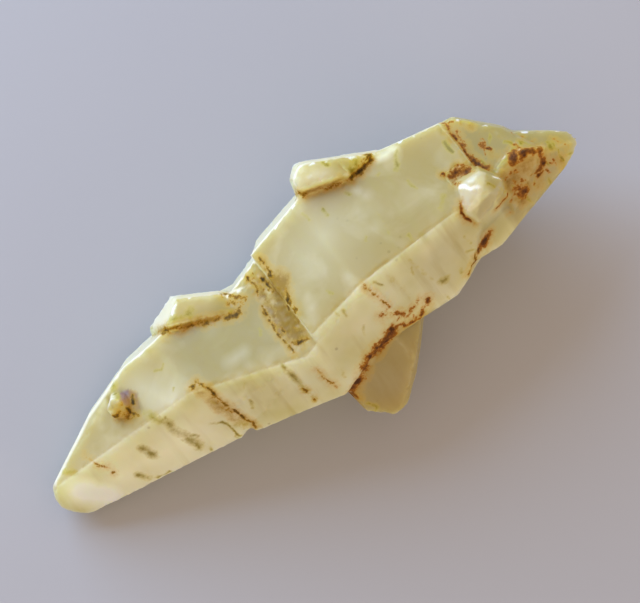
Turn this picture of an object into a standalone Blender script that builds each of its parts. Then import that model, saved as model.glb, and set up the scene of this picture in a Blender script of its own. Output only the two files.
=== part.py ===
"""A natural sapphire crystal: a steep hexagonal dipyramid of pale yellow corundum, 30 mm long.

Several crystals have grown into one another, so the whole is one closed solid. It lies on a flat
contact face with its long axis (the c-axis) almost level. X runs along the crystal from the worn tip
to the sharp one, Y across it, Z up. Every length below is in millimetres and every angle in degrees;
the finished mesh is centred over its foot and scaled to metres at the end.
"""
from math import cos, pi, radians, sin
import random

import bmesh
import bpy
from mathutils import Matrix, Vector
from mathutils.bvhtree import BVHTree

NAME = "sapphire_crystal"
METRES = 0.001            # one millimetre
BLANK = 80.0              # the block that each crystal is cut from
WELD = 0.002              # corners nearer than this are one corner

# The c-axis, shared by the large crystals
AXIS_YAW = 5.0            # turned from X towards Y
AXIS_PITCH = 9.0          # sharp end raised

# Bearings of the six sides round the c-axis, from +Y up towards +Z
RIM = 6.0                 # narrow, almost upright side towards +Y
UPPER = 66.0              # broad upper side towards +Y
LOWER = 126.0             # broad upper side towards -Y
BACK = 186.0              # almost upright side towards -Y
KEEL_BACK = 246.0         # underside towards -Y
KEEL_RIM = 306.0          # underside towards +Y

# Where the large crystals are centred, on or near one common axis line
BODY_CENTRE = (1.0, 0.2, 3.1)
LEFT_CENTRE = (-6.6, 0.43, 2.3)
TIP_CENTRE = (8.5, 0.45, 4.15)

# Steps and ends across the body, measured along the c-axis from its centre
LEFT_STEP = -6.74         # where the middle crystal begins, a step on the lower side
RISER = -1.35             # from the stained terrace up to the right-hand crystal
LOWER_STEP = 2.35         # where the middle crystal ends, a low step on the lower side
RIGHT_END = 9.35          # where the right-hand crystal breaks off above the tip crystal

WORN_RADIUS = 1.45        # the rounded, water-worn left tip
WORN_CENTRE = (-13.85, -0.24, 1.5)
TIP_SHELF = 0.12          # the last growth layer on the tip crystal
POINT_SHELF = -0.04       # the point grows just under the shoulder's faces

# Small six-sided crystals standing on the big ones: place from above, radius, height, lean, heading
STUBS = {
    "worn_bud": ((-10.1, 1.78), 0.62, 0.95, 24, 150),
}
# The same on the hidden underside, placed from below
KEEL_STUBS = {
    "keel_bud": ((9.5, 1.3), 0.75, 1.3, 25, 20),
    "back_bud": ((8.7, -1.3), 0.5, 0.9, 30, 250),
    "tip_bud": ((11.9, 0.1), 0.45, 0.8, 15, 10),
}

PIT_COUNT = 18            # six-sided etch pits
PIT_RADIUS = (0.14, 0.34)
PIT_DEPTH = 0.4           # as a share of the radius
PIT_REACH = 13.0          # they stop short of both tips
PIT_APART = 1.1           # nearest that two may be
PIT_FLOOR = 1.0           # none below this height
PIT_SHELTER = 0.2         # they lie on sides and undersides, whose normals rise less than this
SEED = 11


def along_axis(centre):
    """From a large crystal's own axes to its place."""
    turn = Matrix.Rotation(radians(AXIS_YAW), 4, "Z") @ Matrix.Rotation(radians(-AXIS_PITCH), 4, "Y")
    return Matrix.Translation(centre) @ turn


def facing(heading, climb):
    """The direction at a heading in the XY plane and a climb above it."""
    h, c = radians(heading), radians(climb)
    return Vector((cos(h) * cos(c), sin(h) * cos(c), sin(c)))


def side(bearing, slope, reach):
    """A face round the axis: its bearing, its lean towards +X and its distance at the centre."""
    b, s = radians(bearing), radians(slope)
    outward = Vector((0, cos(b), sin(b)))
    return outward * reach, outward * cos(s) + Vector((sin(s), 0, 0))


def end(x, direction):
    """A face square across the axis at x."""
    return Vector((x, 0, 0)), Vector((direction, 0, 0))


def face(point, heading, climb):
    """A face through a point, looking out at a heading and a climb."""
    return Vector(point), facing(heading, climb)


def keep_inside(bm, planes):
    """Cut away everything beyond each plane and close each cut."""
    for point, normal in planes:
        geometry = bm.verts[:] + bm.edges[:] + bm.faces[:]
        cut = bmesh.ops.bisect_plane(bm, geom=geometry, dist=1e-5, plane_co=point, plane_no=normal,
                                     clear_outer=True)
        outline = [e for e in cut["geom_cut"] if isinstance(e, bmesh.types.BMEdge)]
        if len(outline) > 2:
            bmesh.ops.contextual_create(bm, geom=outline)


def helper_object(bm, name):
    """A shape that only joins or cuts the body: out of sight, drawn as wires."""
    bmesh.ops.recalc_face_normals(bm, faces=bm.faces[:])
    mesh = bpy.data.meshes.new(name)
    bm.to_mesh(mesh)
    bm.free()
    obj = bpy.data.objects.new(name, mesh)
    obj.hide_render = True
    obj.display_type = "WIRE"
    helpers.objects.link(obj)
    return obj


def crystal(name, sides, centre=None, faces=()):
    """A flat-faced crystal: a block cut back by the sides round its axis, then by faces in place."""
    bm = bmesh.new()
    bmesh.ops.create_cube(bm, size=BLANK)
    keep_inside(bm, sides)
    if centre:
        bm.transform(along_axis(centre))
    keep_inside(bm, faces)
    return helper_object(bm, name)


def worn_flats():
    """Small flats that all touch one ball, for the rounded tip."""
    centre = Vector(WORN_CENTRE)
    flats = []
    for ring, count in ((0, 1), (22, 6), (44, 10), (64, 13)):
        polar = radians(ring)
        for k in range(count):
            spin = 2 * pi * (k + ring / 60) / count
            outward = Vector((-cos(polar), sin(polar) * cos(spin), sin(polar) * sin(spin)))
            flats.append((centre + outward * WORN_RADIUS, outward))
    return flats


def left_crystal():
    """The long left crystal, tapering to the worn tip."""
    sides = [
        side(RIM, -21.3, 4.26), side(RIM, -13.5, 3.54), side(RIM, 0, 3.08), side(RIM, 14, 3.4),
        side(UPPER, -11, 3.1), side(UPPER, 8.4, 3.12),
        side(LOWER - 2, -15, 2.86),
        side(BACK, -12.5, 3.06), side(BACK, 10, 3.1),
        side(KEEL_BACK, -13, 3.0), side(KEEL_BACK, 8, 3.0),
        side(KEEL_RIM, -12, 3.05), side(KEEL_RIM, 9, 3.05),
        end(7.0, 1),
    ]
    return crystal("left_crystal", sides, LEFT_CENTRE, worn_flats())


def middle_crystal():
    """The crystal under the stained terrace; on the lower side it stands a little proud."""
    sides = [
        side(RIM, -13, 4.0), side(RIM, 0, 4.0),
        side(UPPER, -10, 3.45), side(UPPER, 0, 3.5),
        side(LOWER + 1, -15, 4.69), side(LOWER, 0, 4.13),
        side(BACK, -18, 4.58), side(BACK, 15.6, 3.2),
        side(KEEL_BACK, -15, 4.5), side(KEEL_BACK, 10, 4.1),
        side(KEEL_RIM, -13, 4.2), side(KEEL_RIM, 12, 4.1),
        end(LEFT_STEP, -1), end(LOWER_STEP, 1),
    ]
    return crystal("middle_crystal", sides, BODY_CENTRE)


def right_crystal():
    """The raised right-hand crystal, from the riser to where it breaks off above the tip."""
    sides = [
        side(RIM, -8.5, 4.2), side(RIM - 7, 16.5, 5.38),
        side(UPPER, -6.5, 3.72), side(UPPER, 13, 4.38),
        side(LOWER, -1, 4.05), side(LOWER, 8, 4.33),
        side(BACK, -9.7, 3.02), side(BACK, 14, 5.0),
        side(KEEL_BACK, -9, 4.05), side(KEEL_BACK, 17, 4.3),
        side(KEEL_RIM, -9, 4.1), side(KEEL_RIM, 17, 4.4),
        end(RISER, -1), end(RIGHT_END, 1),
    ]
    broken_corner = face((7.45, -2.35, 6.0), -54, 14)
    return crystal("right_crystal", sides, BODY_CENTRE, [broken_corner])


def tip_sides(layer, root):
    """The sides of the tip crystal with a growth layer over them, and where its root ends."""
    return [
        side(RIM, 6.5, 3.12 + layer), side(RIM, -12, 4.0 + layer),
        side(UPPER, 15, 2.67 + layer), side(UPPER, -2, 2.75 + layer),
        side(LOWER, 11, 2.78 + layer), side(LOWER, -8, 3.4 + layer),
        side(BACK, 9.5, 3.14 + layer), side(BACK, -12, 3.05 + layer),
        side(KEEL_BACK, 21, 2.7 + layer), side(KEEL_BACK, -5, 4.0 + layer),
        side(KEEL_RIM, 22, 2.9 + layer), side(KEEL_RIM, -5, 4.0 + layer),
        end(root, -1),
    ]


def tip_crystals():
    """The sharp end: a blunt shoulder, the longer point beside it and a layer on their ridge."""
    shoulder = [
        face((11.5, 2.35, 5.0), 43, 5), face((12.25, 1.4, 5.0), 25, 5), face((12.1, 1.3, 6.0), 40, 38),
    ]
    point = [face((13.7, 0.3, 5.0), 55, 4), face((13.2, 0.0, 5.9), 50, 45)]
    layer = [
        face((11.0, 0.42, 7.0), 102, 10), face((12.4, 0.2, 6.5), 59, 10),
        face((11.9, -0.85, 6.5), -63, 10), face((10.6, 0.0, 7.0), 180, 20),
        face((11.0, 0.0, 5.5), 0, -90),
    ]
    return [
        crystal("tip_shoulder", tip_sides(0, -6.0), TIP_CENTRE, shoulder),
        crystal("tip_point", tip_sides(POINT_SHELF, -5.0), TIP_CENTRE, point),
        crystal("tip_layer", tip_sides(TIP_SHELF, -4.0), TIP_CENTRE, layer),
    ]


def side_crystal():
    """The stout crystal that grows out of the -Y side, tucked under the body's edge."""
    faces = [
        face((1.0, -3.3, 5.4), -98, 48), face((3.0, -3.2, 5.3), -62, 46),
        face((-0.95, -4.6, 3.6), 186, 8), face((-0.86, -5.9, 3.0), 224, 8),
        face((2.75, -4.47, 3.4), -44, 5), face((0.3, -6.26, 2.6), -78, 10),
        face((-0.3, -6.3, 2.6), 238, 10), face((1.1, -5.96, 2.6), -55, 10),
        face((1.0, -4.5, 1.1), -95, -62), face((0.95, -5.66, 1.68), -100, -38),
        face((0.2, -4.0, 1.5), 200, -40), face((3.0, -3.6, 2.2), -40, -40),
        face((1.0, -2.6, 3.0), 90, 0),
    ]
    return crystal("side_crystal", [], None, faces)


def rim_block():
    """The light block on the upper edge of the body."""
    faces = [
        face((3.4, 5.0, 6.5), 120, 72), face((4.6, 4.9, 6.3), 61, 62),
        face((2.5, 5.0, 5.6), 168, 10), face((2.85, 5.7, 5.6), 122, 14),
        face((3.5, 5.87, 5.6), 72, 12), face((5.0, 5.1, 5.6), 61, 8),
        face((4.0, 5.0, 4.3), 75, -55), face((3.6, 4.42, 6.0), -109.5, 20),
        face((5.0, 4.3, 5.5), 10, 0), face((2.8, 5.0, 4.7), 160, -40),
    ]
    return crystal("rim_block", [], None, faces)


def rim_wedge():
    """The smaller stained wedge beside the block."""
    faces = [
        face((5.5, 4.4, 6.2), 60, 74), face((4.8, 4.5, 5.9), 190, 30),
        face((5.6, 4.8, 5.6), 62, 10), face((6.5, 4.3, 5.6), -10, 18),
        face((5.6, 4.12, 5.9), -79, 30), face((5.6, 4.3, 4.6), 75, -60),
    ]
    return crystal("rim_wedge", [], None, faces)


def rim_plate():
    """The thick plate on the upper edge of the left crystal."""
    faces = [
        face((-4.8, 3.2, 4.95), 66, 70), face((-5.8, 4.05, 4.0), 119.6, 18),
        face((-4.1, 3.86, 4.0), 60, 10), face((-3.06, 3.0, 4.4), 0, 10),
        face((-4.8, 2.82, 4.9), -113.5, 24), face((-6.25, 3.5, 4.4), 185, 20),
        face((-4.6, 3.4, 3.0), 62, -50),
    ]
    return crystal("rim_plate", [], None, faces)


def crown_crystal():
    """The little bright hexagonal crystal on the ridge, beside the tip crystal."""
    faces = [
        face((8.37, 0.05, 7.3), 154, 18), face((9.3, 0.75, 7.3), 90, 22),
        face((10.25, 0.24, 7.3), 34, 18), face((10.48, -0.7, 7.0), -20, 18),
        face((9.4, -1.15, 7.0), -80, 22), face((8.27, -0.94, 7.0), 208, 18),
        face((8.85, 0.2, 7.62), 140, 62), face((9.9, -0.1, 7.6), 5, 70),
        face((9.2, -0.7, 7.55), -95, 60), face((9.3, -0.1, 5.8), 0, -90),
    ]
    return crystal("crown_crystal", [], None, faces)


def crown_recess():
    """The stained hollow behind the little hexagonal crystal."""
    faces = [
        face((8.5, 1.3, 7.0), 180, -8), face((9.75, 1.3, 7.0), 0, -8),
        face((9.0, 1.62, 7.0), 84, -25), face((9.0, 0.72, 7.0), -90, 0),
        face((9.0, 1.2, 6.72), -30, -80),
    ]
    return crystal("crown_recess", [], None, faces)


def stub(name, point, normal, radius, height, lean, heading):
    """A six-sided crystal with a blunt point, rooted in a face and leaning over at a heading."""
    bm = bmesh.new()
    prism = bmesh.ops.create_cone(bm, cap_ends=True, segments=6, radius1=radius * 1.15,
                                  radius2=radius * 0.85, depth=height)
    top = max((v.co.z for v in prism["verts"]))
    cap = [f for f in bm.faces if all(abs(v.co.z - top) < 1e-6 for v in f.verts)]
    bmesh.ops.inset_region(bm, faces=cap, thickness=radius * 0.45, depth=radius * 0.3)
    upright = Vector((0, 0, 1)).rotation_difference(normal.lerp(facing(heading, 60), 0.4)).to_matrix()
    tilt = Matrix.Rotation(radians(lean), 4, "X")
    bm.transform(Matrix.Translation(point) @ upright.to_4x4() @ tilt)
    return helper_object(bm, name)


def etch_pit(name, point, normal, radius, spin):
    """A shallow six-sided hollow, as an upturned cone sunk in a face."""
    bm = bmesh.new()
    depth = radius * PIT_DEPTH
    bmesh.ops.create_cone(bm, cap_ends=True, segments=6, radius1=radius * 0.35,
                          radius2=radius * 1.6, depth=depth * 2)
    upright = Vector((0, 0, 1)).rotation_difference(normal).to_matrix().to_4x4()
    bm.transform(Matrix.Translation(point) @ upright @ Matrix.Rotation(spin, 4, "Z"))
    return helper_object(bm, name)


def stubs_on(tree):
    """The small crystals, each set on whatever face lies over or under its place."""
    shapes = []
    for table, start, down in ((STUBS, 20, -1), (KEEL_STUBS, -20, 1)):
        for name, ((x, y), radius, height, lean, heading) in table.items():
            point, normal = tree.ray_cast(Vector((x, y, start)), Vector((0, 0, down)))[:2]
            shapes.append(stub(name, point, normal, radius, height, lean, heading))
    return shapes


def pits_on(tree):
    """Etch pits scattered over the sides and the underside, clear of the foot."""
    chance = random.Random(SEED)
    places, shapes = [], []
    while len(shapes) < PIT_COUNT:
        x = chance.uniform(-PIT_REACH, PIT_REACH)
        turn, spin = chance.uniform(0, 2 * pi), chance.uniform(0, pi)
        radius = chance.uniform(*PIT_RADIUS)
        on_axis = Vector(BODY_CENTRE) + facing(AXIS_YAW, AXIS_PITCH) * x
        inward = Vector((0, -cos(turn), -sin(turn)))
        point, normal = tree.ray_cast(on_axis - inward * BLANK, inward)[:2]
        if point is None or point.z < PIT_FLOOR or normal.z > PIT_SHELTER:
            continue
        if all((point - other).length > PIT_APART for other in places):
            places.append(point)
            shapes.append(etch_pit(f"pit_{len(shapes)}", point, normal, radius, spin))
    return shapes


def combine(target, others, operation):
    """Join or cut with exact Booleans, applied one after another, leaving out any that tears."""
    for other in others:
        modifier = target.modifiers.new(other.name, "BOOLEAN")
        modifier.operation = operation
        modifier.solver = "EXACT"
        modifier.object = other
        bpy.context.view_layer.update()
        view = bpy.context.evaluated_depsgraph_get()
        bm = bmesh.new()
        bm.from_mesh(bpy.data.meshes.new_from_object(target.evaluated_get(view)))
        target.modifiers.remove(modifier)
        clean(bm)
        if bm.faces and all(len(edge.link_faces) == 2 for edge in bm.edges):
            bm.to_mesh(target.data)
        else:
            print("left out", other.name, len(bm.faces))
        bm.free()


def clean(bm):
    """Merge what coincides and dissolve slivers."""
    bmesh.ops.remove_doubles(bm, verts=bm.verts[:], dist=WELD)
    bmesh.ops.dissolve_degenerate(bm, edges=bm.edges[:], dist=WELD / 2)


def finished_object(target):
    """Cut the flat foot, centre the solid over it and scale it to metres."""
    bm = bmesh.new()
    bm.from_mesh(target.data)
    keep_inside(bm, [(Vector((0, 0, 0)), Vector((0, 0, -1)))])
    clean(bm)
    bmesh.ops.triangulate(bm, faces=bm.faces[:])
    low = Vector([min(v.co[i] for v in bm.verts) for i in range(3)])
    high = Vector([max(v.co[i] for v in bm.verts) for i in range(3)])
    middle = (low + high) / 2
    bm.transform(Matrix.Scale(METRES, 4) @ Matrix.Translation((-middle.x, -middle.y, -low.z)))
    bmesh.ops.recalc_face_normals(bm, faces=bm.faces[:])
    print("triangles", len(bm.faces), "low", tuple(low), "high", tuple(high))
    mesh = bpy.data.meshes.new(NAME)
    bm.to_mesh(mesh)
    bm.free()
    obj = bpy.data.objects.new(NAME, mesh)
    parts.objects.link(obj)
    return obj


def corundum():
    """Pale yellow, milky corundum."""
    material = bpy.data.materials.new("pale_yellow_corundum")
    material.use_nodes = True
    shader = material.node_tree.nodes["Principled BSDF"]
    shader.inputs["Base Color"].default_value = (0.60, 0.53, 0.30, 1)
    shader.inputs["Roughness"].default_value = 0.3
    shader.inputs["Metallic"].default_value = 0.0
    shader.inputs["IOR"].default_value = 1.77
    shader.inputs["Transmission Weight"].default_value = 0.5
    return material


for old in list(bpy.data.objects):
    bpy.data.objects.remove(old, do_unlink=True)
parts = bpy.data.collections.new(NAME)
helpers = bpy.data.collections.new("cutters")
bpy.context.scene.collection.children.link(parts)
bpy.context.scene.collection.children.link(helpers)

body = middle_crystal()
combine(body, [right_crystal(), left_crystal(), *tip_crystals()], "UNION")
combine(body, [side_crystal(), rim_block(), rim_wedge(), rim_plate()], "UNION")
combine(body, [crown_recess()], "DIFFERENCE")
combine(body, [crown_crystal()], "UNION")

tree = BVHTree.FromObject(body, bpy.context.evaluated_depsgraph_get())
combine(body, stubs_on(tree), "UNION")
combine(body, pits_on(tree), "DIFFERENCE")
finished = finished_object(body)
finished.data.materials.append(corundum())
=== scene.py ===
import math
import random

import bmesh
import bpy
import numpy as np
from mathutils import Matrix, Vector, noise
from mathutils.bvhtree import BVHTree
from mathutils.kdtree import KDTree


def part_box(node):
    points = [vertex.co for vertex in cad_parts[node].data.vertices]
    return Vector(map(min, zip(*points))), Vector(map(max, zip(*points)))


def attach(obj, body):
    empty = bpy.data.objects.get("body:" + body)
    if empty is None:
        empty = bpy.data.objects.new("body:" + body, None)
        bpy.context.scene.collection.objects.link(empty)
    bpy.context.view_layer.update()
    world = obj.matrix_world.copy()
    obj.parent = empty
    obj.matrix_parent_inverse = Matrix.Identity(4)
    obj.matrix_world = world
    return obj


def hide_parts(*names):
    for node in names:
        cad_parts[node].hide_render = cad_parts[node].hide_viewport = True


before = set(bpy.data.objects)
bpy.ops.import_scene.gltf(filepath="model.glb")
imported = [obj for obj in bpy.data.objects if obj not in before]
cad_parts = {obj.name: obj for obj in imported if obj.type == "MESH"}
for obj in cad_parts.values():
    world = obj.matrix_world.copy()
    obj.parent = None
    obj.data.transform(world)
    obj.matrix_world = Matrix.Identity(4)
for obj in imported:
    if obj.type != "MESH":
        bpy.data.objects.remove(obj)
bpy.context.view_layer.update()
mm = 0.001
nodeName = "sapphire_crystal"

# The crystal's surface, finer than the solid it is laid over. Lengths are in mm and angles in degrees
surface = {
    "voxel": 0.135,        # size of the fine mesh's squares
    "refine": 0.16,        # they are halved nearer than this to an edge or a stain
    "axisYaw": 5.0,        # the c-axis, which the growth lines run square to
    "axisPitch": 9.0,
    "sharpAngle": 21.0,    # between two faces that make a real edge
    "edgeStep": 0.06,      # spacing of the points that mark the edges
    "smoothing": 0.5,
    "rounds": 2,           # how many times the edges are softened
    "moreRounds": 5,       # and how many times more away from the small crisp crystals
    "crisp": [(9.6, 0.0, 2.2), (-9.4, 1.7, 0.9), (6.0, 4.3, 1.0)],  # x, y and reach of those
    "wave": 0.05,          # slow waviness of a natural face
    "waveSize": 2.4,
    "growthStep": 0.008,   # height of the fine growth lines
    "growthSpacing": 0.5,
    "growthLength": 5.0,
    "chip": 0.11,          # deepest chip along an edge
    "chipReach": 0.17,     # how far a chip spreads from its edge
    "chipsPerMm": 3.3,
    "chipMore": 0.15,      # the higher, the less of an edge stays whole
    "etch": 0.05,          # roughness of the etched terrace
    "etchSize": 0.22,
    "etchSink": 0.4,       # how far its ground lies under the face, as a share of that roughness
    "setsIn": (0.1, 0.4),  # heights above the resting face, which stays flat, where all this sets in
}

# The rim between the top and the sides that face +Y, where the window light catches it, gets a painted
# highlight in white up to the block. Lengths are in mm.
# The first value of a pair is where nothing shows, the second where all of it does
rim = {
    "rise": 0.35,                # the rim's two normals rise less and more than this
    "outward": 0.5,              # and the lower one points this far towards +Y
    "leastLength": 0.6,
    "paintedRimBand": (0.38, 0.152),     # distance from the rim
    "glint": (0.14, 0.06),       # the same, for a row of painted glints along it
    "crumb": (0.34, 0.44),       # levels of the noise that places the painted glints
    "glintsPerMm": 2.4,
    "block": (4.4, 3.6),         # x, because the painted highlight ends short of the block
    "underside": (-0.2, 0.0),    # rise of the normal: none shows below the rim
    "top": (0.8, 0.35),          # and little on the flat top
    "plate": (-4.6, 3.6),        # x and y of the plate, whose edges have none
    "plateReach": (1.575, 1.75),
    "bevelTop": (0.8, 0.6),      # rise of the normal: only the plate's bevel gets the painted highlight, not its top
}

# Rust-brown iron stain: path across the crystal in mm, reach to each side, strength, brokenness
rustMarks = {
    "plateContact": ([(-6.22, 3.56), (-5.52, 3.26), (-4.62, 2.81), (-3.67, 2.41), (-2.77, 2.06)],
                     0.26, 0.7, 0.4),
    "plateEnd": ([(-2.81, 3.26), (-2.42, 2.81), (-1.96, 2.41)], 0.2, 0.6, 0.4),
    "plateEndOchre": ([(-2.67, 2.61), (-2.42, 2.31)], 0.34, 0.6, 0.4),
    "plateEndBrown": ([(-2.67, 2.21), (-2.21, 2.26)], 0.22, 0.8, 0.4),
    "terraceEdge": ([(-1.7, 1.05), (-1.81, 0.44), (-1.78, -0.1), (-1.7, -0.46), (-1.7, -0.93)],
                    0.13, 0.95, 0.6),
    "terraceDashA": ([(-0.39, 3.54), (-0.39, 3.07), (-0.39, 2.6)], 0.12, 0.85, 0.5),
    "terraceDashB": ([(-0.95, 3.06), (-0.87, 2.65), (-0.79, 2.17)], 0.13, 0.8, 0.8),
    "terraceDashC": ([(-1.34, 3.17), (-1.36, 2.68), (-1.48, 2.16)], 0.12, 0.7, 0.7),
    "terraceRiser": ([(-0.22, 1.67), (-0.59, 1.17), (-0.54, 0.53)], 0.14, 0.65, 0.9),
    "terraceCurl": ([(-0.56, 1.31), (-0.72, 0.81), (-0.47, 0.96)], 0.13, 0.8, 0.6),
    "terraceFootA": ([(-1.71, 1.73), (-1.61, 1.06)], 0.12, 0.8, 0.6),
    "terraceFootB": ([(-1.64, -0.37), (-1.29, -0.72), (-0.78, -0.83)], 0.14, 0.75, 0.8),
    "blockContact": ([(2.73, 4.91), (3.39, 4.56), (4.08, 4.36), (4.75, 4.18)], 0.26, 0.5, 0.9),
    "wedgeContact": ([(5.2, 4.06), (5.83, 4.01), (6.43, 4.21), (6.73, 4.36)], 0.24, 0.95, 0.4),
    "wedgeAmber": ([(6.03, 4.31), (6.58, 4.41)], 0.3, 0.5, 0.8),
    "budArmA": ([(-10.32, 1.62), (-9.92, 1.58), (-9.66, 1.13)], 0.17, 0.75, 0.6),
    "budArmB": ([(-9.62, 1.88), (-9.56, 1.49), (-9.44, 1.02)], 0.16, 0.95, 0.4),
    "budDark": ([(-9.01, 1.91), (-9.21, 1.56)], 0.15, 0.9, 0.6),
    "leftStep": ([(-6.16, 0.66), (-5.94, -0.1), (-5.73, -0.98), (-5.5, -1.83), (-5.2, -2.7)],
                 0.12, 0.95, 0.4),
    "leftStepFill": ([(-5.97, -0.25), (-5.83, -0.9), (-5.72, -1.4)], 0.24, 0.5, 0.6),
    "leftCrescent": ([(-6.69, 0.62), (-6.31, 0.56), (-6.62, 0.44)], 0.12, 0.5, 0.6),
    "tipLine": ([(-12.58, 0.88), (-12.48, 0.55), (-12.2, 0.0), (-11.93, -0.45)], 0.16, 0.5, 0.4),
    "middleADark": ([(-2.34, -2.5), (-2.23, -3.28)], 0.14, 0.45, 0.8),
    "middleB": ([(-1.33, -2.18), (-1.21, -2.82), (-1.07, -3.44)], 0.11, 0.6, 0.4),
    "sideContact": ([(2.68, -2.77), (2.36, -2.97), (1.88, -3.04), (1.4, -3.12), (1.01, -3.3)],
                    0.42, 1.0, 0.2),
    "sideContactLow": ([(0.62, -3.45), (0.05, -3.67), (-0.36, -3.88), (-0.72, -4.2)], 0.4, 0.95, 0.25),
    "sideContactTail": ([(2.78, -2.63), (3.26, -3.03), (4.07, -3.2)], 0.13, 0.9, 0.4),
    "sideContactTop": ([(2.66, -1.99), (2.9, -2.0), (3.16, -2.23), (3.18, -2.5), (2.78, -2.63)],
                       0.14, 0.65, 0.2),
    "sideCurl": ([(2.54, -1.99), (2.94, -1.94), (3.23, -2.29), (3.48, -2.54)], 0.2, 0.55, 0.35),
    "sideCurlB": ([(3.58, -2.69), (4.04, -2.54), (4.48, -2.34)], 0.18, 0.5, 0.4),
    "sideCurlC": ([(3.79, -3.09), (3.89, -2.79)], 0.12, 0.6, 0.5),
    "sideEnd": ([(4.13, -3.04), (4.53, -2.89), (4.88, -2.64)], 0.17, 0.85, 0.4),
    "sideSpot": ([(0.29, -3.94), (0.33, -3.89)], 0.16, 0.6, 0.3),
    "rightLine": ([(2.8, -0.39), (2.96, -1.1), (3.15, -2.01)], 0.11, 0.5, 0.4),
    "rightLineTop": ([(2.79, -0.49), (2.81, -0.55)], 0.12, 0.9, 0.1),
    "tipBoundary": ([(10.35, 3.51), (10.24, 2.91), (10.29, 2.27), (10.26, 1.53)], 0.12, 0.95, 0.8),
    "tipDash": ([(10.54, 2.86), (10.49, 2.46), (10.38, 2.11)], 0.18, 0.8, 0.5),
    "tipTop": ([(10.29, 3.51), (10.69, 3.31)], 0.14, 0.6, 0.8),
    "tipPatch": ([(10.26, 1.53), (10.37, 1.1), (10.6, 0.59)], 0.28, 0.95, 0.5),
    "crownCorner": ([(8.74, 1.71), (8.94, 1.46), (8.94, 1.01)], 0.2, 0.8, 0.6),
    "crownFrame": ([(9.01, 1.34), (9.5, 1.31), (9.8, 1.01)], 0.34, 0.95, 0.4),
    "crownFramePale": ([(9.04, 0.96), (9.99, 0.91)], 0.26, 0.5, 0.5),
    "crownSide": ([(8.69, 0.2), (8.42, -0.28), (8.47, -0.67), (8.66, -1.11)], 0.12, 1.0, 0.3),
    "crownFoot": ([(9.84, -1.19), (10.19, -1.04), (10.63, -0.99)], 0.14, 0.7, 0.6),
    "ridgeDot": ([(10.19, -1.69), (10.34, -1.64)], 0.17, 0.5, 0.5),
    "lowerLine": ([(7.1, -2.83), (7.39, -2.61), (7.79, -2.3)], 0.13, 0.85, 0.5),
    "lowerPatch": ([(8.93, -1.86), (8.54, -2.09), (8.25, -2.13), (8.02, -2.22)], 0.32, 1.1, 0.4),
    "tipRedA": ([(11.88, 0.25), (12.09, 0.53), (12.38, 0.22), (12.85, 0.05)], 0.36, 1.0, 0.5),
    "tipRedB": ([(11.24, -0.99), (11.47, -1.25), (11.24, -1.33)], 0.34, 0.95, 0.6),
    "tipRedC": ([(13.13, -0.15), (12.87, -0.39), (12.91, -0.68), (12.49, -0.79)], 0.28, 0.95, 0.6),
    "tipRedLine": ([(12.13, -0.84), (12.99, -0.74)], 0.14, 0.9, 0.4),
    "tipVein": ([(11.04, -0.29), (11.38, -0.14)], 0.14, 0.7, 0.5),
    "tipVeinB": ([(11.88, -1.24), (12.29, -1.04), (12.69, -0.99)], 0.13, 0.6, 0.8),
    "tipVeinC": ([(10.63, -1.24), (10.99, -1.09)], 0.14, 0.5, 0.5),
    "tipMarkA": ([(12.79, 0.91), (12.74, 0.61)], 0.13, 0.6, 0.5),
    "tipMarkB": ([(12.94, 0.46), (13.09, 0.41)], 0.13, 0.5, 0.5),
    "pointLine": ([(13.99, -0.04), (14.13, -0.39), (14.29, -0.74)], 0.11, 0.5, 0.5),
}

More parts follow.
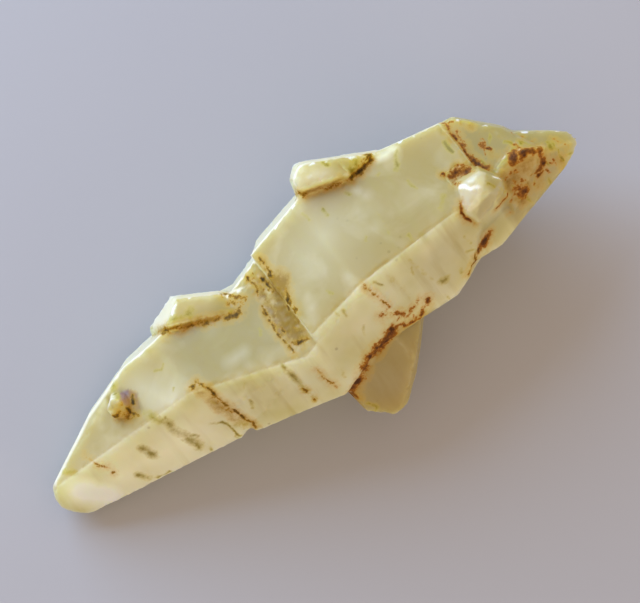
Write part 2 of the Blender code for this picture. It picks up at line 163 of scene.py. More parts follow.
# Thinner olive-yellow stain that has crept in along the growth lines
oliveMarks = {
    "plateOlive": ([(-5.57, 3.71), (-5.32, 3.61), (-4.42, 3.41)], 0.28, 0.6, 0.6),
    "wedgeOlive": ([(5.43, 4.31), (5.93, 4.51)], 0.42, 0.8, 0.5),
    "blockSpot": ([(4.63, 5.41), (4.73, 5.21)], 0.2, 0.9, 0.3),
    "budArm": ([(-9.51, 2.86), (-9.66, 2.26)], 0.3, 0.7, 0.5),
    "leftSecond": ([(-6.56, -1.53), (-6.31, -1.58), (-6.19, -2.18), (-6.0, -2.8)], 0.11, 1.0, 0.3),
    "leftSecondFill": ([(-6.07, -2.04), (-5.47, -2.34)], 0.36, 0.4, 0.4),
    "leftDash": ([(-10.41, -1.94), (-9.81, -2.09)], 0.16, 0.95, 0.4),
    "oliveBand": ([(-8.96, 0.86), (-8.56, -0.04), (-8.26, -0.94), (-7.82, -1.94)], 0.4, 0.55, 0.4),
    "oliveBandDark": ([(-7.92, -1.29), (-7.67, -1.49)], 0.16, 0.9, 0.4),
    "oliveBandFoot": ([(-8.16, -1.34), (-7.97, -1.94)], 0.34, 0.75, 0.5),
    "oliveA": ([(-10.16, -0.29), (-9.91, -0.94)], 0.36, 0.7, 0.5),
    "oliveB": ([(-11.12, -1.24), (-10.81, -1.64)], 0.3, 0.7, 0.5),
    "oliveC": ([(-13.76, 0.91), (-13.41, 0.61)], 0.26, 0.6, 0.4),
    "bracket": ([(-7.52, 2.21), (-7.22, 2.11), (-6.97, 2.26)], 0.12, 0.7, 0.4),
    "middleA": ([(-2.5, -1.1), (-2.38, -1.62), (-2.34, -2.5), (-2.23, -3.28)], 0.28, 0.6, 0.6),
    "middleFoot": ([(-2.42, -3.69), (-1.96, -3.89)], 0.2, 0.4, 0.4),
    "sideMark": ([(-0.32, -4.89), (-0.11, -5.29), (-0.37, -5.49)], 0.18, 0.9, 0.5),
    "rightFaintA": ([(5.18, -0.64), (5.33, -1.44), (5.48, -2.04)], 0.18, 0.28, 0.4),
    "rightFaintB": ([(3.98, -0.74), (4.23, -2.04)], 0.35, 0.22, 0.4),
    "rightFaintC": ([(5.23, 1.96), (5.13, 0.66)], 0.16, 0.25, 0.4),
    "rightPair": ([(5.73, -2.34), (6.23, -2.39)], 0.26, 0.6, 0.9),
    "rimOlive": ([(7.23, 3.11), (7.43, 3.41), (7.73, 3.81)], 0.2, 0.8, 0.6),
    "rimDot": ([(6.28, 3.41), (6.43, 3.41)], 0.16, 0.6, 0.4),
    "upperDot": ([(4.63, 3.61), (4.73, 3.41)], 0.15, 0.6, 0.4),
    "ridgeMark": ([(7.78, 0.41), (8.19, 0.76)], 0.26, 0.4, 0.5),
    "tipOlive": ([(9.79, 2.76), (9.74, 2.21)], 0.18, 0.9, 0.5),
    "tipOliveLine": ([(10.79, 0.31), (11.34, 0.46), (12.09, 0.61)], 0.2, 0.8, 0.5),
    "tipMarkC": ([(12.04, 1.16), (12.19, 0.96)], 0.13, 0.8, 0.4),
    "pointDot": ([(14.19, -1.09), (14.29, -1.14)], 0.15, 0.9, 0.3),
}

# Soft amber glow in the stone around the stains; each rust stain gets one too
amberMarks = {
    "terraceFill": ([(-0.45, 2.17), (-1.04, 0.9), (-1.17, -0.2)], 0.85, 1.05, 0.5),
    "terraceTop": ([(-0.38, 3.32), (-0.67, 2.34)], 0.45, 0.7, 0.6),
    "terraceLow": ([(-1.39, -0.04), (-0.97, -0.52)], 0.6, 0.9, 0.4),
    "terraceMiddle": ([(-1.04, 2.85), (-1.45, 1.2), (-1.6, 0.1)], 0.5, 0.8, 0.5),
    "leftGlow": ([(-6.24, 0.08), (-5.97, -0.72), (-5.83, -1.34)], 0.55, 0.7, 0.4),
    "leftSecondGlow": ([(-5.86, -1.74), (-5.58, -2.29)], 0.45, 0.5, 0.4),
    "tipGlow": ([(10.9, -0.6), (12.0, -0.3), (13.0, -0.3)], 0.9, 0.75, 0.6),
    "recessGlow": ([(9.3, 1.2), (10.3, 1.2)], 0.6, 0.6, 0.5),
    "plateFoot": ([(-6.2, 3.6), (-4.6, 2.88), (-3.0, 2.2)], 0.4, 0.95, 0.4),
    "sideFoot": ([(-0.75, -4.25), (0.05, -3.72), (1.0, -3.3), (1.9, -3.05), (2.6, -2.9)],
                 0.62, 0.95, 0.3),
    "blockBand": ([(2.8, 4.95), (3.4, 4.66), (4.1, 4.46), (4.8, 4.26)], 0.42, 0.75, 0.4),
}

# Milkier, paler patches inside the crystal, with painted light on the lower faces of the left end and a
# painted highlight along the crown's edge
paleMarks = {
    "wornEnd": ([(-13.61, -0.41), (-12.86, -1.13)], 1.2, 1.6, 0.1),
    "bandA": ([(-4.42, 0.46), (-3.61, 0.46)], 0.5, 0.3, 0.3),
    "bandB": ([(-4.72, -0.14), (-4.32, -0.44)], 0.4, 0.2, 0.3),
    "rightUpper": ([(1.39, 2.21), (3.19, 2.81)], 2.6, 0.17, 0.3),
    "leftUpper": ([(-12.2, 0.9), (-10.6, 1.6)], 1.5, 0.1, 0.2),
    "plateFace": ([(-5.6, 4.0), (-3.6, 3.3)], 0.6, 0.1, 0.2),
    "blockFace": ([(3.1, 5.5), (4.3, 5.0)], 0.7, 0.25, 0.2),
    "rimFacet": ([(6.88, 4.01), (7.68, 3.91)], 0.35, 0.5, 0.2),
    # painted light on the lower faces of the left end, which the window doesn't reach
    "leftLower": ([(-12.3, -0.8), (-10.9, -0.9), (-8.0, -1.3)], 2.2, 0.6, 0.2),
    "leftMiddle": ([(-8.5, 2.0), (-6.9, -1.0)], 1.9, 0.3, 0.3),
    # painted highlight along the crown's edge
    "crownHighlightLine": ([(9.0, 0.68), (9.75, 0.13)], 0.12, 2.0, 0.0),
}

# Small stray marks: kind, seed, how many, area in mm (x, y from and to), length, reach and strength
strays = [
    ("olive", 3, 34, (-12.5, -3.2, 9.5, 4.4), 0.35, 0.12, 0.7),
    ("olive", 8, 26, (10.2, -1.8, 14.2, 3.2), 0.4, 0.13, 1.0),
    ("rust", 5, 18, (10.6, -1.4, 13.8, 2.2), 0.2, 0.15, 0.9),
    ("rust", 6, 10, (-1.6, -0.6, -0.2, 3.3), 0.3, 0.11, 0.9),
    ("amber", 4, 14, (10.2, -1.8, 14.0, 3.2), 0.7, 0.45, 0.8),
    ("pale", 7, 24, (-12.0, -3.0, 9.0, 4.2), 0.8, 0.5, 0.22),
]

# Areas with their own look or with painted light and shade, as a convex outline seen from above in mm, how
# soft its border is, and strength
zones = {
    "terrace": {"field": "etched", "soft": 0.15, "strength": 1.0,
                "outline": [(-1.81, -0.89), (-0.37, -0.89), (-0.27, 3.91), (-1.71, 3.91)]},
    "tip": {"field": "honey", "soft": 0.5, "strength": 1.0,
            "outline": [(10.09, -2.99), (15.69, -2.99), (15.69, 4.51), (10.19, 4.51)]},
    "middleUpper": {"field": "honey", "soft": 1.0, "strength": 0.55,
                    "outline": [(-7.0, 0.2), (-1.9, -0.6), (-1.9, 3.0), (-6.2, 3.2)]},
    "rightLower": {"field": "honey", "soft": 1.2, "strength": 0.3,
                   "outline": [(5.0, -3.6), (10.0, -2.6), (10.0, 0.0), (5.0, -0.6)]},
    # painted highlight: the crown's facet that faces the window is painted white
    "crownWhite": {"field": "bright", "soft": 0.06, "strength": 1.0,
                   "outline": [(8.61, -0.24), (8.74, -0.54), (9.29, -0.51), (10.45, 0.51),
                               (10.18, 0.78), (8.96, 0.79)]},
    # painted shade: the crown's facet turned from the window is painted grey
    "crownGrey": {"field": "crownShade", "soft": 0.06, "strength": 1.0,
                  "outline": [(8.83, -0.58), (8.98, -1.46), (9.76, -0.97), (10.42, -0.87),
                              (10.85, -0.6), (10.94, -0.32), (10.45, 0.51), (9.3, -0.5)]},
    # painted highlight on the plate's bevel, where the window light catches it
    "plateBevel": {"field": "bevelHighlight", "soft": 0.1, "strength": 0.6,
                   "outline": [(-6.6, 3.75), (-5.95, 3.6), (-4.7, 4.3), (-4.8, 4.8), (-5.6, 4.8)]},
    "redTip": {"field": "red", "soft": 0.6, "strength": 1.0,
               "outline": [(8.0, -3.5), (15.5, -3.5), (15.5, 4.5), (8.0, 4.5)]},
    "redSide": {"field": "red", "soft": 0.4, "strength": 1.0,
                "outline": [(-1.3, -7.0), (5.4, -7.0), (5.4, -1.7), (2.2, -1.7), (-1.3, -3.5)]},
    "budBase": {"field": "umber", "soft": 0.2, "strength": 1.0,
                "outline": [(-10.35, 1.3), (-9.6, 0.85), (-9.0, 1.1), (-8.85, 1.9), (-9.3, 2.5),
                            (-10.1, 2.6)]},
    "budMauve": {"field": "mauve", "soft": 0.08, "strength": 1.0,
                 "outline": [(-9.66, 2.06), (-9.54, 1.64), (-9.0, 1.44), (-8.8, 1.84), (-9.02, 2.24),
                             (-9.45, 2.34)]},
    "budPink": {"field": "mauve", "soft": 0.08, "strength": 0.5,
                "outline": [(-9.34, 1.16), (-9.08, 1.22), (-8.98, 1.41), (-9.33, 1.58)]},
    "side": {"field": "umber", "soft": 0.25, "strength": 1.0,
             "outline": [(-1.01, -4.29), (-1.01, -6.79), (3.39, -6.79), (4.78, -3.19), (2.69, -2.89),
                         (0.48, -3.59)]},
}

# How stains and tones spread. Lengths are in mm, and the first value of a pair is where nothing shows
spread = {
    "step": 0.04,                # spacing of the points along a mark's path
    "wobble": 0.11,              # how far the path strays, and how often
    "wobblesPerMm": 2.6,
    "gaps": 1.4,                 # how much a broken mark fades and narrows in places
    "gapsPerMm": 3.5,
    "narrows": 0.9,
    "narrowsPerMm": 2.1,
    "most": 1.1,                 # a stain is nowhere stronger than this
    "rust": 0.85,                # share of its strength that rust keeps
    "glow": 0.8,                 # amber glow round each rust stain, its extra reach and how fast it fades
    "glowReach": 0.35,
    "glowFade": 1.4,
    "shadeFacing": (-0.13, 0.8, 0.58),  # faces turned this way, towards the window light, get painted shade: a deeper, darker yellow
    "litFaceShade": (0.35, 0.8),
    "steepRise": (0.5, 0.2),     # rise and +Y of the normal on the steep sides that face the window, which get painted light in a warm pale tone
    "steepOut": (0.4, 0.8),
    "hidden": (0.15, -0.15),     # rise of the normal on the sides that lie out of the light, which have
    "hiddenNotch": (0.45, 0.0),  # rust in their notches
    "hiddenRust": 0.45,
    "creep": (0.35, 0.9),        # and olive stain along the growth lines
    "creepOlive": 0.8,
    "creepSpacing": 0.8,
    "creepPerMm": 0.26,
    "blots": 0.6,                # blots that break up both
    "blotsPerMm": 0.9,
}


def direction(bearing, climb):
    # unit vector from two angles in degrees
    bearing, climb = math.radians(bearing), math.radians(climb)
    level = math.cos(climb)
    return Vector((math.cos(bearing) * level, math.sin(bearing) * level, math.sin(climb)))


def lumps(point, perMm, shift=(0, 0, 0)):
    # smooth noise with so many lumps along each mm
    return noise.noise(point * (perMm / mm) + Vector(shift))


def mergedSolid(node):
    # the solid comes as loose triangles, so its corners are welded in a copy
    weld = 1e-7
    bm = bmesh.new()
    bm.from_mesh(node.data)
    bmesh.ops.remove_doubles(bm, verts=bm.verts[:], dist=weld)
    bm.normal_update()
    return bm


def evenMesh(solid, cfg):
    # evenly spaced squares over the whole solid
    mesh = bpy.data.meshes.new("coarse")
    solid.to_mesh(mesh)
    obj = bpy.data.objects.new("coarse", mesh)
    bpy.context.scene.collection.objects.link(obj)
    remesh = obj.modifiers.new("even squares", "REMESH")
    remesh.mode = "VOXEL"
    remesh.voxel_size = cfg["voxel"] * mm
    view = bpy.context.evaluated_depsgraph_get()
    mesh = bpy.data.meshes.new_from_object(obj.evaluated_get(view))
    bpy.data.objects.remove(obj)
    return mesh


def soften(bm, verts, times, cfg):
    # rounds the edges off, a little each time
    for _ in range(times):
        bmesh.ops.smooth_vert(bm, verts=verts, factor=cfg["smoothing"],
                              use_axis_x=True, use_axis_y=True, use_axis_z=True)


def isCrisp(vert, cfg):
    # whether a vertex lies on one of the small crystals whose edges stay crisp
    return any(math.hypot(vert.co.x / mm - x, vert.co.y / mm - y) <= reach for x, y, reach in cfg["crisp"])


def fineMesh(solid, tree, features, cfg):
    # squares halved beside edges and stains, drawn back on to the flat faces and softened
    mesh = evenMesh(solid, cfg)
    bm = bmesh.new()
    bm.from_mesh(mesh)
    close = {vert for vert in bm.verts if features.find(vert.co)[2] < cfg["refine"] * mm}
    edges = [edge for edge in bm.edges if edge.verts[0] in close and edge.verts[1] in close]
    bmesh.ops.subdivide_edges(bm, edges=edges, cuts=1, use_grid_fill=True)
    for vert in bm.verts:
        vert.co = tree.find_nearest(vert.co)[0]
    soften(bm, bm.verts[:], cfg["rounds"], cfg)
    soften(bm, [vert for vert in bm.verts if not isCrisp(vert, cfg)], cfg["moreRounds"], cfg)
    bmesh.ops.triangulate(bm, faces=[face for face in bm.faces if len(face.verts) > 4])
    bmesh.ops.recalc_face_normals(bm, faces=bm.faces[:])
    bm.to_mesh(mesh)
    bm.free()
    return mesh


def nearest(points):
    # a search tree over some points
    near = KDTree(len(points))
    for i, point in enumerate(points):
        near.insert(point, i)
    near.balance()
    return near


def distances(points, co):
    # how far in mm each vertex lies from the nearest of some points
    near = nearest(points)
    return np.array([near.find(Vector(place))[2] for place in co], np.float32) / mm


def isRim(under, over, length):
    # whether an edge between two normals, the lower one first, belongs to the rim
    return under.y > rim["outward"] and under.z < rim["rise"] < over.z and length > rim["leastLength"] * mm


def edgePoints(solid, cfg, outward, rimOnly=False):
    # points along the solid's ridges (outward) or its notches, for finding what lies near them
    points = []
    least = math.radians(cfg["sharpAngle"])
    for edge in solid.edges:
        angle = edge.calc_face_angle_signed(0.0)
        if (angle if outward else -angle) < least:
            continue
        under, over = sorted((face.normal for face in edge.link_faces), key=lambda normal: normal.z)
        start, end = (vert.co for vert in edge.verts)
        length = (end - start).length
        if rimOnly and not isRim(under, over, length):
            continue
        count = max(1, math.ceil(length / (cfg["edgeStep"] * mm)))
        points += [start.lerp(end, i / count) for i in range(count + 1)]
    return points


def drape(path, tree):
    # a path drawn from above, laid on the crystal's surface with a slight wobble
    above, down = 0.05, Vector((0, 0, -1))
    often, far = spread["wobblesPerMm"], spread["wobble"]
    points = []
    for (x0, y0), (x1, y1) in zip(path, path[1:]):
        count = max(1, math.ceil(math.hypot(x1 - x0, y1 - y0) / spread["step"]))
        for i in range(count + 1):
            x, y = x0 + (x1 - x0) * i / count, y0 + (y1 - y0) * i / count
            x += far * noise.noise(Vector((x * often, y * often, 0)))
            y += far * noise.noise(Vector((x * often, y * often, 7)))
            hit = tree.ray_cast(Vector((x * mm, y * mm, above)), down)[0]
            if hit:
                points.append(hit)
    return points


def markField(marks, near, count, tree, extra=0.0, power=1.0):
    # strength of a stain at each vertex: full on its path, fading to nothing at its reach
    field = np.zeros(count, np.float32)
    for path, reach, strength, broken in marks.values():
        for point in drape(path, tree):
            here = strength * (1 + spread["gaps"] * broken * lumps(point, spread["gapsPerMm"]))
            narrower = spread["narrows"] * broken * lumps(point, spread["narrowsPerMm"], (9, 2, 5))
            far = (reach + extra) * mm * (1 + narrower)
            for _, index, distance in near.find_range(point, far):
                field[index] = max(field[index], here * (1 - distance / far) ** power)
    return field


def strayMarks(kind):
    # short strokes scattered over an area, most of them square to the c-axis like the growth lines
    turn, turnSpread, brokenness = surface["axisYaw"] - 90, 22, 0.6
    lengths, widths, strengths = (0.3, 1.5), (0.7, 1.3), (0.4, 1)
    marks = {}
    for name, seed, count, (x0, y0, x1, y1), length, reach, strength in strays:
        chance = random.Random(seed)
        for i in range(count if name == kind else 0):
            x, y = chance.uniform(x0, x1), chance.uniform(y0, y1)
            angle = math.radians(chance.gauss(turn, turnSpread))
            halfX = 0.5 * length * chance.uniform(*lengths) * math.cos(angle)
            halfY = 0.5 * length * chance.uniform(*lengths) * math.sin(angle)
            path = [(x - halfX, y - halfY), (x + halfX, y + halfY)]
            width = reach * chance.uniform(*widths)
            marks[f"{kind}{seed}.{i}"] = (path, width, strength * chance.uniform(*strengths), brokenness)
    return marks


def zoneField(zone, co):
    # full inside a convex outline, falling to nothing across its soft border
    field = np.full(len(co), zone["strength"], np.float32)
    outline = zone["outline"]
    for (x0, y0), (x1, y1) in zip(outline, outline[1:] + outline[:1]):
        length = math.hypot(x1 - x0, y1 - y0)
        inside = ((x1 - x0) * (co[:, 1] / mm - y0) - (y1 - y0) * (co[:, 0] / mm - x0)) / length
        field = np.minimum(field, zone["strength"] * np.clip(inside / zone["soft"] + 0.5, 0, 1))
    return field


def fade(values, start, full):
    # 0 at the start, 1 where it is full, and a soft ramp between them
    t = np.clip((values - start) / (full - start), 0, 1)
    return t * t * (3 - 2 * t)


def pointArray(mesh, name):
    # positions or normals of a mesh's vertices as rows
    values = np.empty(len(mesh.vertices) * 3, np.float32)
    mesh.vertices.foreach_get(name, values)
    return values.reshape(-1, 3)


def stainFields(tree, co):
    # how strongly each zone and each stain shows at each vertex
    near, count = nearest(co), len(co)
    fields = {}
    for zone in zones.values():
        field = zoneField(zone, co)
        fields[zone["field"]] = np.maximum(fields.get(zone["field"], 0), field)
    placed = {"rust": rustMarks, "olive": oliveMarks, "pale": paleMarks, "amber": amberMarks}
    for name, marks in placed.items():
        field = markField({**marks, **strayMarks(name)}, near, count, tree)
        fields[name] = np.minimum(field, spread["most"])
    fields["rust"] *= spread["rust"]
    glow = markField(rustMarks, near, count, tree, spread["glowReach"], spread["glowFade"])
    fields["amber"] = np.maximum(fields["amber"], spread["glow"] * glow)
    return fields


def sideFields(fields, co, normal, notch, cfg):
    # painted shade on the faces turned to the window, painted light on the steep sides that face it, and
    # the stain of those that lie out of the light
    fields["litFaceShade"] = fade(normal @ np.array(spread["shadeFacing"]), *spread["litFaceShade"])
    fields["steep"] = fade(normal[:, 2], *spread["steepRise"]) * fade(normal[:, 1], *spread["steepOut"])
    hidden = fade(normal[:, 2], *spread["hidden"])
    axis = direction(cfg["axisYaw"], cfg["axisPitch"])
    often = spread["creepPerMm"] / mm
    creep = np.zeros(len(co), np.float32)
    for i, point in enumerate(map(Vector, co)):
        across = point.dot(axis) / mm / spread["creepSpacing"]
        lines = noise.noise(Vector((across, point.y * often, point.z * often)))
        creep[i] = lines + spread["blots"] * lumps(point, spread["blotsPerMm"])
    rust = hidden * fade(notch, *spread["hiddenNotch"]) * (spread["hiddenRust"] + creep)
    olive = hidden * fade(creep, *spread["creep"]) * spread["creepOlive"]
    fields["rust"] = np.maximum(fields["rust"], rust)
    fields["olive"] = np.maximum(fields["olive"], olive)


def rimFields(fields, co, normal, gap):
    # painted highlight: white along the rim and on the plate's bevel, and painted glints in it
    glintNoise = np.array([lumps(Vector(place), rim["glintsPerMm"], (3, 1, 8)) for place in co])
    fields["glint"] = fade(glintNoise, *rim["crumb"]) * fade(gap, *rim["glint"])
    plateX, plateY = rim["plate"]
    fromPlate = np.hypot(co[:, 0] / mm - plateX, co[:, 1] / mm - plateY)
    paintedRimBand = (
        fade(gap, *rim["paintedRimBand"])
        * fade(normal[:, 2], *rim["underside"])
        * fade(normal[:, 2], *rim["top"])
        * fade(co[:, 0] / mm, *rim["block"])
        * fade(fromPlate, *rim["plateReach"])
    )
    fields["rimHighlight"] = np.maximum(paintedRimBand, fields.pop("bevelHighlight") * fade(normal[:, 2], *rim["bevelTop"]))


def liftField(co, worn, etched, cfg):
    # how far in mm each vertex stands off its flat face, through waves, growth lines, chips and etching
    axis = direction(cfg["axisYaw"], cfg["axisPitch"])
    long = cfg["growthLength"] * mm
    lift = np.zeros(len(co), np.float32)
    for i, point in enumerate(map(Vector, co)):
        across = point.dot(axis) / mm / cfg["growthSpacing"]
        lift[i] = (
            cfg["wave"] * lumps(point, 1 / cfg["waveSize"])
            + cfg["growthStep"] * noise.noise(Vector((across, point.y / long, point.z / long)))
            - cfg["chip"] * worn[i] * max(0.0, lumps(point, cfg["chipsPerMm"]) + cfg["chipMore"])
            + cfg["etch"] * etched[i] * (lumps(point, 1 / cfg["etchSize"]) - cfg["etchSink"])
        )
    return lift * fade(co[:, 2] / mm, *cfg["setsIn"])


def makeCrystal(cfg):
    solid = mergedSolid(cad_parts[nodeName])
    tree = BVHTree.FromBMesh(solid)
    ridges, notches = edgePoints(solid, cfg, True), edgePoints(solid, cfg, False)
    crownHighlightLine = {"crownHighlightLine": paleMarks["crownHighlightLine"]}
    fineStains = (rustMarks, oliveMarks, strayMarks("rust"), strayMarks("olive"), crownHighlightLine)
    stained = [point for marks in fineStains for mark in marks.values() for point in drape(mark[0], tree)]
    mesh = fineMesh(solid, tree, nearest(ridges + notches + stained), cfg)
    co, normal = pointArray(mesh, "co"), pointArray(mesh, "normal")
    triangles = sum(len(face.vertices) - 2 for face in mesh.polygons)
    print("fine mesh", len(co), "vertices", triangles, "triangles")

    fields = stainFields(tree, co)
    sideFields(fields, co, normal, distances(notches, co), cfg)
    rimFields(fields, co, normal, distances(edgePoints(solid, cfg, True, rimOnly=True), co))
    fields["worn"] = np.maximum(0, 1 - distances(ridges, co) / cfg["chipReach"])
    print("stains laid")

    lift = liftField(co, fields["worn"], fields.pop("etched"), cfg)
    low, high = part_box(nodeName)
    co = np.clip(co + normal * (lift * mm)[:, None], np.array(low), np.array(high))
    mesh.vertices.foreach_set("co", co.astype(np.float32).ravel())
    for name, field in fields.items():
        layer = mesh.attributes.new(name, "FLOAT", "POINT")
        layer.data.foreach_set("value", field.astype(np.float32))
    mesh.update()
    mesh.shade_smooth()
    obj = bpy.data.objects.new("crystal_surface", mesh)
    bpy.context.scene.collection.objects.link(obj)
    solid.free()
    return obj


# The look of the stone: colours as sRGB, lengths in mm, pairs as levels of the pattern that drives them
look = {
    "bodyDark": "#CAC78F",        # the body changes slowly between these two
    "bodyLight": "#DEDFC1",
    "body": (0.35, 0.65),
    "bodySize": 3.2,
    # clouds in the body: colour, strength and the levels between which they set in
    "litFaceShade": ("#AE9850", 0.9, (0.0, 1.0)),         # painted shade: a deeper, darker yellow on the faces turned to the window light
    "veil": ("#EAE4C0", 0.22, (0.5, 0.72)),       # milky veils inside
    "streak": ("#B3A55C", 0.45, (0.52, 0.75)),    # deeper bands along the growth lines
    "fleck": ("#8C7C40", 0.4, (0.0, 1.0)),        # small dark specks
    "veilSize": 2.0,
    "streakSize": (0.6, 4.5),     # across and along the growth lines
    "fleckSpacing": 0.95,
    "fleckWidth": (0.05, 0.11),   # full and gone, as a share of the spacing
    "fleckPlace": (0.5, 0.56),    # the same on the veils' noise, so they lie between the veils
    # tints of the fields painted on the surface: field, colour and strength
    "tints": [
        # painted light: a warm pale tone on the steep sides that face the window
        ("steep", "#E6D8B4", 0.72),
        ("pale", "#FFFFE8", 0.95),
        ("honey", "#A29254", 0.75),
        ("umber", "#9C8646", 0.8),
        ("mauve", "#8E6A66", 0.85),
        # painted shade on the crown's grey facet
        ("crownShade", "#B3AB86", 0.85),
        # painted highlight on the crown's white facet
        ("bright", "#F4EEDA", 0.3),
        ("worn", "#EAE6C4", 0.04),
        # painted glints along the rim
        ("glint", "#FFFFF4", 0.7),
        # painted highlight along the rim and on the plate's bevel
        ("rimHighlight", "#FFF2D2", 0.8),
    ],
    "scatter": (1.0, 0.85, 0.5),  # how far red, green and blue light scatter inside
    "scatterSize": 3.0,
    "stainStops": -0.4,           # what stain and the painted rim highlight take from the light that gets inside
    "rimHighlightStops": -0.8,
    "clear": 0.15,                # share of the light that passes straight through
    "bend": 1.77,                 # corundum's index of refraction
    "sheen": 0.06,
    "whiteSheen": 0.35,           # what the crown's white facet adds to the shine, and the rim's share of that
    "rimHighlightSheen": 0.4,
    "rough": (0.3, 0.5),          # satin, a little uneven
    "roughFrom": (0.3, 0.7),
    "stainRough": 0.3,            # and duller where rust lies
    "lineSize": (0.25, 3.5),      # relief of fine growth lines, across and along
    "lineStrength": 0.12,
    "lineDepth": 0.03,
    "grainStrength": 0.15,        # and of fine grain
    "grainDepth": 0.02,
    "depthColour": "#E8DFA8",     # what a thick stretch filters out, and how strongly for each metre
    "depth": 130.0,
}

# Stains: how strongly grain breaks them up, what they cover at each level and their tone there,
# with the first and the last level first
stains = {
    "amber": {
        "grain": 0.7,
        "cover": [(0.03, 0.0), (0.8, 0.85)],
        "tones": [(0.1, "#DCB646"), (0.9, "#9C7812")],
    },
    "olive": {
        "grain": 0.7,
        "cover": [(0.08, 0.0), (0.8, 0.9)],
        "tones": [(0.1, "#CBBB34"), (0.9, "#8C7C12")],
    },
    "rust": {
        "grain": 1.4,
        "cover": [(0.15, 0.0), (0.45, 1.0)],
        "tones": [(0.15, "#D4A82E"), (1.0, "#453409"),
                  (0.35, "#B68C1E"), (0.55, "#8E6A12"), (0.8, "#664B0C")],
        "redTones": [(0.15, "#CC981C"), (1.0, "#4E2A06"),
                     (0.35, "#B47812"), (0.55, "#935A0A"), (0.8, "#704008")],
    },
}

# The grain that breaks the stains up
grains = {
    "speck": 0.55,       # size of its coarse and its fine sort in mm
    "crumb": 0.16,
    "speckShare": 1.5,   # how much the coarse sort counts beside the fine one
    "balance": -1.25,    # brings the two together to about nothing
    "clean": 6.0,        # how soon a stain's edge gives way to clean stone
}


def linearColour(code):
    # sRGB hex to the linear colour that the shaders want
    parts = [int(code[i:i + 2], 16) / 255 for i in (1, 3, 5)]
    return tuple(c / 12.92 if c <= 0.04045 else ((c + 0.055) / 1.055) ** 2.4 for c in parts) + (1.0,)


def addNode(tree, kind, links=None, values=None, stops=None, **settings):
    # one node, with its settings, its sockets' values and what is linked to them
    node = tree.nodes.new("ShaderNode" + kind)
    for name, value in settings.items():
        setattr(node, name, value)
    for socket, value in (values or {}).items():
        node.inputs[socket].default_value = value
    for socket, source in (links or {}).items():
        tree.links.new(source, node.inputs[socket])
    for i, (place, colour) in enumerate(stops or []):
        element = node.color_ramp.elements[i] if i < 2 else node.color_ramp.elements.new(place)
        element.position = place
        element.color = colour
    return node


def newMaterial(name):
    material = bpy.data.materials.new(name)
    material.use_nodes = True
    tree = material.node_tree
    return material, tree, tree.nodes["Principled BSDF"]


def noiseOf(tree, place, size, detail, **values):
    # noise with lumps of a size in mm
    sockets = {"Scale": 1 / (size * mm), "Detail": detail, **values}
    return addNode(tree, "TexNoise", {"Vector": place}, sockets).outputs["Fac"]


def growthNoise(tree, place, size):
    # noise drawn out along the growth lines, which run square to the c-axis
    across, along = (1 / (length * mm) for length in size)
    turn = (0, math.radians(surface["axisPitch"]), math.radians(-surface["axisYaw"]))
    sockets = {"Rotation": turn, "Scale": (across, along, along)}
    turned = addNode(tree, "Mapping", {"Vector": place}, sockets)
    lines = addNode(tree, "TexNoise", {"Vector": turned.outputs[0]}, {"Scale": 1.0, "Detail": 3.0})
    return lines.outputs["Fac"]


def calc(tree, operation, a, b, c=None, **settings):
    # one sum; what isn't a number is linked
    terms = [term for term in (a, b, c) if term is not None]
    links = {i: term for i, term in enumerate(terms) if not isinstance(term, float)}
    values = {i: term for i, term in enumerate(terms) if isinstance(term, float)}
    return addNode(tree, "Math", links, values, operation=operation, **settings).outputs[0]


def ranged(tree, level, levels, results):
    # a level carried from one range to another
    return addNode(tree, "MapRange", {"Value": level},
                   {1: levels[0], 2: levels[1], 3: results[0], 4: results[1]}).outputs[0]


def laidOver(tree, colour, share, code):
    # a share of a flat colour laid over the colour below
    mix = addNode(tree, "Mix", {"Factor": share, 6: colour}, {7: linearColour(code)}, data_type="RGBA")
    return mix.outputs[2]


def bodyColour(tree, place, fields):
    # a pale yellow body with veils, deeper bands and small dark flecks, painted shade on the faces turned
    # to the window, and then the painted tints, some of them painted light and shade
    cloud = noiseOf(tree, place, look["bodySize"], 3.0)
    low, high = look["body"]
    ends = [(low, linearColour(look["bodyDark"])), (high, linearColour(look["bodyLight"]))]
    colour = addNode(tree, "ValToRGB", {"Fac": cloud}, stops=ends).outputs["Color"]

    veil = noiseOf(tree, place, look["veilSize"], 3.0, Distortion=0.5)
    streak = growthNoise(tree, place, look["streakSize"])
    cell = addNode(tree, "TexVoronoi", {"Vector": place}, {"Scale": 1 / (look["fleckSpacing"] * mm)})
    dot = ranged(tree, cell.outputs["Distance"], look["fleckWidth"], (1.0, 0.0))
    sparse = ranged(tree, veil, look["fleckPlace"], (1.0, 0.0))
    fleck = calc(tree, "MULTIPLY", dot, sparse)
    for name, level in (("litFaceShade", fields["litFaceShade"]), ("veil", veil), ("streak", streak), ("fleck", fleck)):
        code, amount, levels = look[name]
        colour = laidOver(tree, colour, ranged(tree, level, levels, (0.0, amount)), code)
    for name, code, amount in look["tints"]:
        colour = laidOver(tree, colour, calc(tree, "MULTIPLY", fields[name], amount), code)
    return colour


def stainTone(tree, level, kind, red):
    # how much of the surface a stain covers at each level, and its tone there, redder in the red zones
    cover = addNode(tree, "ValToRGB", {"Fac": level}, stops=[(at, (x, x, x, 1)) for at, x in kind["cover"]])
    tones = kind["tones"], kind.get("redTones", kind["tones"])
    plain, redder = (
        addNode(tree, "ValToRGB", {"Fac": level}, stops=[(at, linearColour(code)) for at, code in ramp])
        for ramp in tones
    )
    links = {"Factor": red, 6: plain.outputs["Color"], 7: redder.outputs["Color"]}
    return cover.outputs["Color"], addNode(tree, "Mix", links, data_type="RGBA").outputs[2]


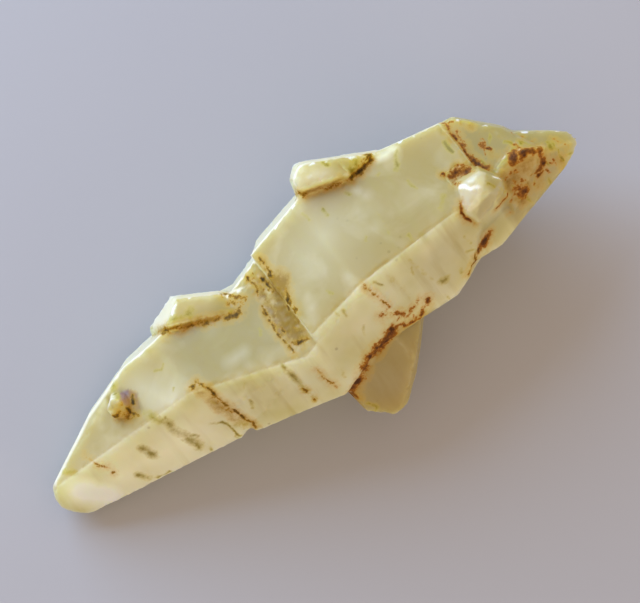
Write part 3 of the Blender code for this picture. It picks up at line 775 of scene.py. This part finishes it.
def stainedColour(tree, colour, fields, speck, crumb):
    # grain breaks each stain into blots and specks; also gives what rust, the last one, covers
    grain = calc(tree, "MULTIPLY_ADD", speck, grains["speckShare"], grains["balance"])
    grain = calc(tree, "ADD", crumb, grain)
    for name, kind in stains.items():
        gate = calc(tree, "MULTIPLY", fields[name], grains["clean"], use_clamp=True)
        shaken = calc(tree, "MULTIPLY_ADD", grain, kind["grain"], fields[name])
        level = calc(tree, "MULTIPLY", shaken, gate, use_clamp=True)
        cover, tone = stainTone(tree, level, kind, fields["red"])
        colour = addNode(tree, "Mix", {"Factor": cover, 6: colour, 7: tone}, data_type="RGBA").outputs[2]
    return colour, cover


def milkyCorundum():
    # natural corundum: hard and glassy, but clouded by fine inclusions, so light spreads far inside it;
    # its faces are satin from growth lines and etching, and iron stain lies in its steps
    material, tree, shader = newMaterial("milkyCorundum")
    place = addNode(tree, "TexCoord").outputs["Object"]
    names = [tint[0] for tint in look["tints"]] + ["litFaceShade", "red", *stains]
    fields = {name: addNode(tree, "Attribute", attribute_name=name).outputs["Fac"] for name in names}
    speck = noiseOf(tree, place, grains["speck"], 5.0, Roughness=0.65)
    crumb = noiseOf(tree, place, grains["crumb"], 4.0, Roughness=0.65)
    colour = bodyColour(tree, place, fields)
    colour, rustCover = stainedColour(tree, colour, fields, speck, crumb)
    tree.links.new(colour, shader.inputs["Base Color"])

    # stain and the painted rim highlight lie on the surface, so less light gets inside there
    inner = calc(tree, "MULTIPLY_ADD", rustCover, look["stainStops"], 1.0)
    inner = calc(tree, "MULTIPLY_ADD", fields["rimHighlight"], look["rimHighlightStops"], inner, use_clamp=True)
    tree.links.new(inner, shader.inputs["Subsurface Weight"])
    shader.inputs["Subsurface Radius"].default_value = look["scatter"]
    shader.inputs["Subsurface Scale"].default_value = look["scatterSize"] * mm
    shader.inputs["Transmission Weight"].default_value = look["clear"]
    shader.inputs["IOR"].default_value = look["bend"]

    sheen = calc(tree, "MULTIPLY_ADD", fields["rimHighlight"], look["rimHighlightSheen"], fields["bright"])
    sheen = calc(tree, "MULTIPLY_ADD", sheen, look["whiteSheen"], look["sheen"])
    tree.links.new(sheen, shader.inputs["Specular IOR Level"])
    rough = ranged(tree, speck, look["roughFrom"], look["rough"])
    rough = calc(tree, "MULTIPLY_ADD", rustCover, look["stainRough"], rough)
    tree.links.new(rough, shader.inputs["Roughness"])

    lines = addNode(tree, "Bump", {"Height": growthNoise(tree, place, look["lineSize"])},
                    {"Strength": look["lineStrength"], "Distance": look["lineDepth"] * mm})
    relief = addNode(tree, "Bump", {"Height": crumb, "Normal": lines.outputs[0]},
                     {"Strength": look["grainStrength"], "Distance": look["grainDepth"] * mm})
    tree.links.new(relief.outputs[0], shader.inputs["Normal"])

    depth = {"Color": linearColour(look["depthColour"]), "Density": look["depth"]}
    absorb = addNode(tree, "VolumeAbsorption", values=depth)
    tree.links.new(absorb.outputs[0], tree.nodes["Material Output"].inputs["Volume"])
    return material


# The studio. Bearings and climbs are in degrees, distances and sizes in m
studio = {
    "floor": "#ADADB1",         # matt card
    "floorReach": 0.6,
    "floorRough": 0.8,
    "glow": "#FFE6D0",          # a warm glow all round
    "glowStrength": 0.75,
    "lights": [
        {"name": "window", "bearing": 98, "climb": 24, "far": 0.17, "size": 0.16, "power": 0.54,
         "colour": "#B3D7FF"},   # broad and cool, from one side
        {"name": "card", "bearing": -80, "climb": 14, "far": 0.3, "size": 0.2, "power": 0.2,
         "colour": "#FFF6E4"},   # warm and low, from the other
    ],
}


def makeFloor(cfg):
    bm = bmesh.new()
    bmesh.ops.create_grid(bm, x_segments=1, y_segments=1, size=cfg["floorReach"])
    mesh = bpy.data.meshes.new("floor")
    bm.to_mesh(mesh)
    bm.free()
    floor = bpy.data.objects.new("floor", mesh)
    bpy.context.scene.collection.objects.link(floor)
    # plain pale grey card, matt all over
    material, _, shader = newMaterial("paleCard")
    shader.inputs["Base Color"].default_value = linearColour(cfg["floor"])
    shader.inputs["Roughness"].default_value = cfg["floorRough"]
    mesh.materials.append(material)


def makeLights(cfg):
    world = bpy.data.worlds.new("studio")
    world.use_nodes = True
    world.node_tree.nodes["Background"].inputs["Color"].default_value = linearColour(cfg["glow"])
    world.node_tree.nodes["Background"].inputs["Strength"].default_value = cfg["glowStrength"]
    bpy.context.scene.world = world
    for lamp in cfg["lights"]:
        data = bpy.data.lights.new(lamp["name"], "AREA")
        data.shape = "DISK"
        data.size = lamp["size"]
        data.energy = lamp["power"]
        data.color = linearColour(lamp["colour"])[:3]
        light = bpy.data.objects.new(lamp["name"], data)
        towards = direction(lamp["bearing"], lamp["climb"])
        light.location = towards * lamp["far"]
        light.rotation_euler = (-towards).to_track_quat("-Z", "Y").to_euler()
        bpy.context.scene.collection.objects.link(light)
    print("studio ready")


# The view from straight above, with the crystal running up to the right. Lengths are in mm
view = {
    "turn": 36.3,               # degrees
    "centre": (0.685, 0.248),
    "wide": 30.08,              # width of the view at the level of the crystal's outline
    "level": 4.0,
    "lens": 300.0,
    "sensor": 36.0,
    "reach": 5.0,               # m
}


def makeCamera(cfg):
    data = bpy.data.cameras.new("camera")
    data.lens = cfg["lens"]
    data.sensor_width = cfg["sensor"]
    data.clip_end = cfg["reach"]
    camera = bpy.data.objects.new("camera", data)
    height = cfg["level"] + cfg["wide"] * cfg["lens"] / cfg["sensor"]
    camera.location = Vector((*cfg["centre"], height)) * mm
    camera.rotation_euler = (0, 0, -math.radians(cfg["turn"]))
    bpy.context.scene.collection.objects.link(camera)
    bpy.context.scene.camera = camera


makeCamera(view)
makeFloor(studio)
makeLights(studio)
bpy.context.scene.view_settings.view_transform = "Standard"
crystal = makeCrystal(surface)
crystal.data.materials.clear()
crystal.data.materials.append(milkyCorundum())
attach(crystal, "root")
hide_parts(nodeName)
print("crystal finished")
